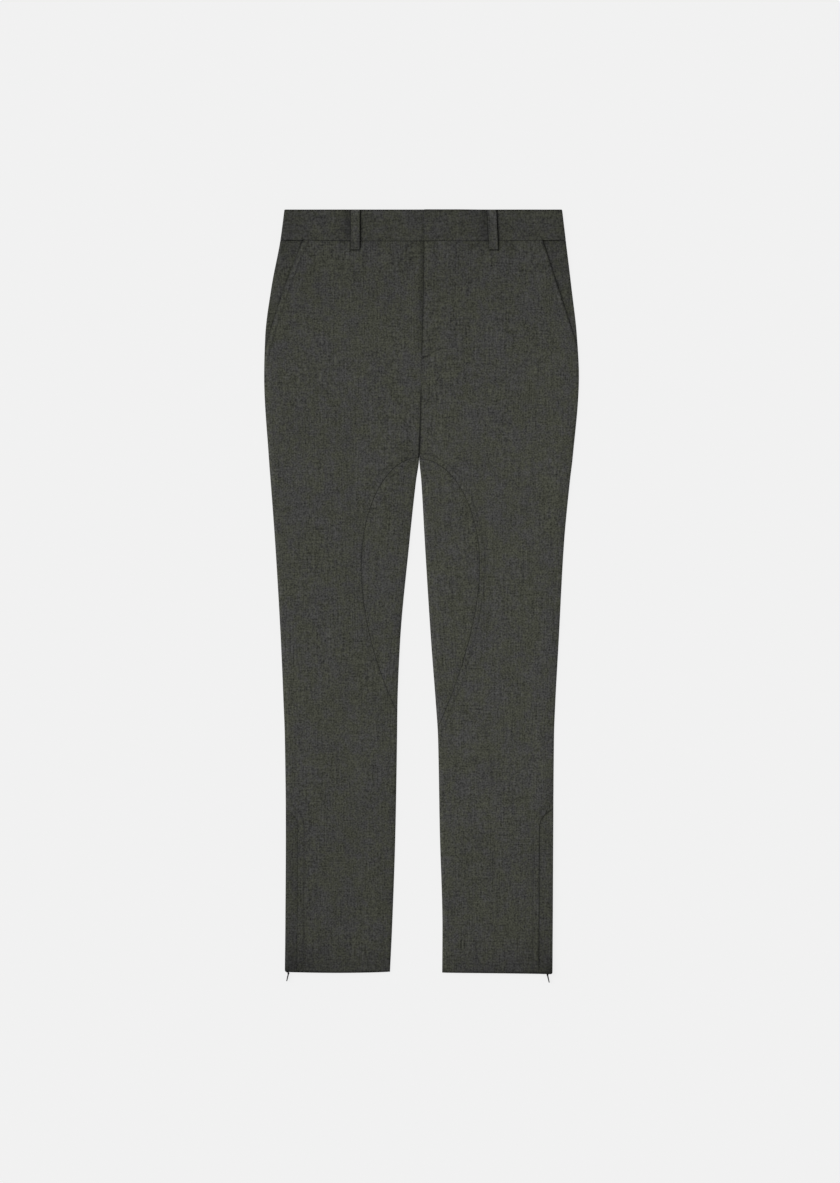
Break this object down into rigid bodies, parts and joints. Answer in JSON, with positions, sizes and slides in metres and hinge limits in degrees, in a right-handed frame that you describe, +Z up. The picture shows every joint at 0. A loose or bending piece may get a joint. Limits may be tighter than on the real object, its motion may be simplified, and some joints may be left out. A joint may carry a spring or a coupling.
{
  "type": "wool-type suit trousers laid flat",
  "caption": "Slim tapered suit trousers laid flat: waistband with belt loops, slant pockets, fly, curved inset inner-thigh panels and side ankle zips.",
  "frame": {"origin": "centre of the bounding box in X and Y, on the surface the trousers lie on", "axes": "+X towards the wearer's left, +Y towards the waist, +Z up out of the front"},
  "size_m": [0.4296, 1.0548, 0.0087],
  "materials": {
    "suiting": "matte melange plain weave, dark olive grey",
    "zip_tape": "matte woven tape",
    "gunmetal": "dark gunmetal, satin"
  },
  "bodies": {
    "trousers": {"front_panel_right": "suiting", "front_panel_left": "suiting", "back_panel_right": "suiting", "back_panel_left": "suiting", "hip_piece_right": "suiting", "hip_piece_left": "suiting", "inset_panel_right": "suiting", "inset_panel_left": "suiting", "ankle_strip_right": "suiting", "ankle_strip_left": "suiting", "waistband_right": "suiting", "waistband_left": "suiting", "fly_shield": "suiting", "belt_loop_front_right": "suiting", "belt_loop_front_left": "suiting", "belt_loop_back_right": "suiting", "belt_loop_back_centre": "suiting", "belt_loop_back_left": "suiting", "ankle_zip_tape_right": "zip_tape", "ankle_zip_tape_left": "zip_tape", "zip_slider_right": "gunmetal", "zip_slider_left": "gunmetal"},
    "pull_right": {"zip_pull_right": "gunmetal"},
    "pull_left": {"zip_pull_left": "gunmetal"}
  },
  "joints": [
    {"name": "pull_right_swing", "type": "hinge", "parent": "trousers", "child": "pull_right", "pos_m": [-0.18155, -0.51464, 0.003], "axis": [0, 0, -1], "range_deg": [-10, 75]},
    {"name": "pull_left_swing", "type": "hinge", "parent": "trousers", "child": "pull_left", "pos_m": [0.17185, -0.51673, 0.003], "axis": [0, 0, 1], "range_deg": [-10, 75]}
  ]
}
